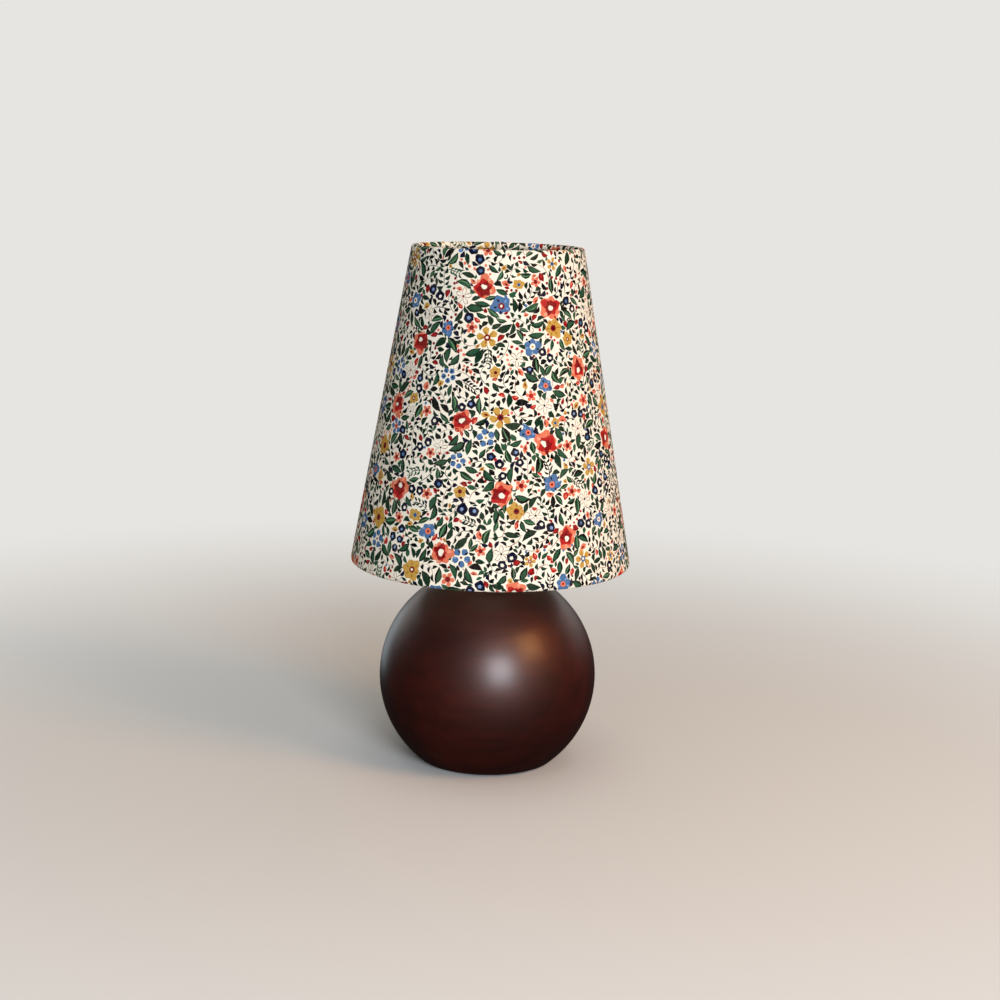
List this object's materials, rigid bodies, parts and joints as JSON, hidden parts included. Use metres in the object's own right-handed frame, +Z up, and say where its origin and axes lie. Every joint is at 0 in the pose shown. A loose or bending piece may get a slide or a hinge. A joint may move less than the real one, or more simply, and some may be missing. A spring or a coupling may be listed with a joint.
{
  "type": "table lamp",
  "caption": "Table lamp with a turned wooden ball base and a tall tapered shade of printed cotton, on a harp over a turn-switch socket and its bulb.",
  "frame": {"origin": "centre of the foot, on the surface the lamp stands on", "axes": "+Z up along the lamp's axis, -Y the front, +Y the cord outlet and the shade's seam, +X the switch knob"},
  "size_m": [0.1992, 0.1996, 0.3697],
  "materials": {
    "ball_wood": "red-brown stain under satin lacquer",
    "foot_felt": "dark pressed felt",
    "black_plastic": "moulded black",
    "cam_plastic": "moulded",
    "zinc_steel": "zinc plated",
    "polished_brass": "polished",
    "plain_brass": "as rolled",
    "card_sleeve": "plain",
    "frosted_glass": "white coated inside",
    "clear_glass": "clear",
    "black_glass": "fused black",
    "bulb_aluminium": "rolled thread",
    "solder": "dull grey solder",
    "lead_wire": "drawn wire",
    "printed_cotton": "cream cotton printed with small flowers",
    "liner_sheet": "stiff white lining sheet",
    "white_wire": "white coated"
  },
  "bodies": {
    "base": {"ball_base": "ball_wood", "felt_pad": "foot_felt", "cord_bushing": "black_plastic", "lamp_pipe": "zinc_steel", "base_washer": "zinc_steel", "lock_washer": "zinc_steel", "base_nut": "zinc_steel", "check_ring": "polished_brass", "neck_spacer": "polished_brass", "harp_saddle": "polished_brass", "harp_wire": "polished_brass", "harp_stud": "polished_brass", "socket_cap": "polished_brass", "set_screw": "zinc_steel", "socket_shell": "polished_brass", "socket_insulator": "card_sleeve", "socket_body_lower": "black_plastic", "socket_body_upper": "black_plastic", "body_rivet_left": "plain_brass", "body_rivet_right": "plain_brass", "centre_contact": "plain_brass", "screw_shell": "plain_brass", "terminal_screw_brass": "plain_brass", "terminal_screw_silver": "zinc_steel", "switch_bushing": "polished_brass"},
    "switch": {"switch_cam": "cam_plastic", "switch_shaft": "plain_brass", "switch_knob": "black_plastic"},
    "sleeve_front": {"harp_sleeve_front": "polished_brass"},
    "sleeve_back": {"harp_sleeve_back": "polished_brass"},
    "bulb": {"bulb_envelope": "frosted_glass", "bulb_base": "bulb_aluminium", "bulb_insulator": "black_glass", "bulb_tip": "solder", "bulb_stem": "clear_glass", "bulb_lead_left": "lead_wire", "bulb_lead_right": "lead_wire", "bulb_filament": "lead_wire"},
    "shade": {"shade_cover": "printed_cotton", "shade_liner": "liner_sheet", "top_ring": "white_wire", "bottom_ring": "white_wire", "spider_washer": "white_wire", "spider_arm_1": "white_wire", "spider_arm_2": "white_wire", "spider_arm_3": "white_wire"},
    "finial": {"finial": "polished_brass"}
  },
  "joints": [
    {"name": "switch_turn", "type": "hinge", "parent": "base", "child": "switch", "pos_m": [0, 0, 0.1778], "axis": [1, 0, 0], "continuous": true},
    {"name": "sleeve_front_lift", "type": "slide", "parent": "base", "child": "sleeve_front", "axis": [0, 0, 1], "range_m": [0, 0.012]},
    {"name": "sleeve_back_lift", "type": "slide", "parent": "base", "child": "sleeve_back", "axis": [0, 0, 1], "range_m": [0, 0.012]},
    {"name": "bulb_turn", "type": "hinge", "parent": "base", "child": "bulb", "pos_m": [0, 0, 0.1871], "axis": [0, 0, 1], "continuous": true},
    {"name": "shade_turn", "type": "hinge", "parent": "base", "child": "shade", "pos_m": [0, 0, 0.344], "axis": [0, 0, 1], "continuous": true},
    {"name": "finial_turn", "type": "hinge", "parent": "base", "child": "finial", "pos_m": [0, 0, 0.345], "axis": [0, 0, 1], "continuous": true}
  ]
}
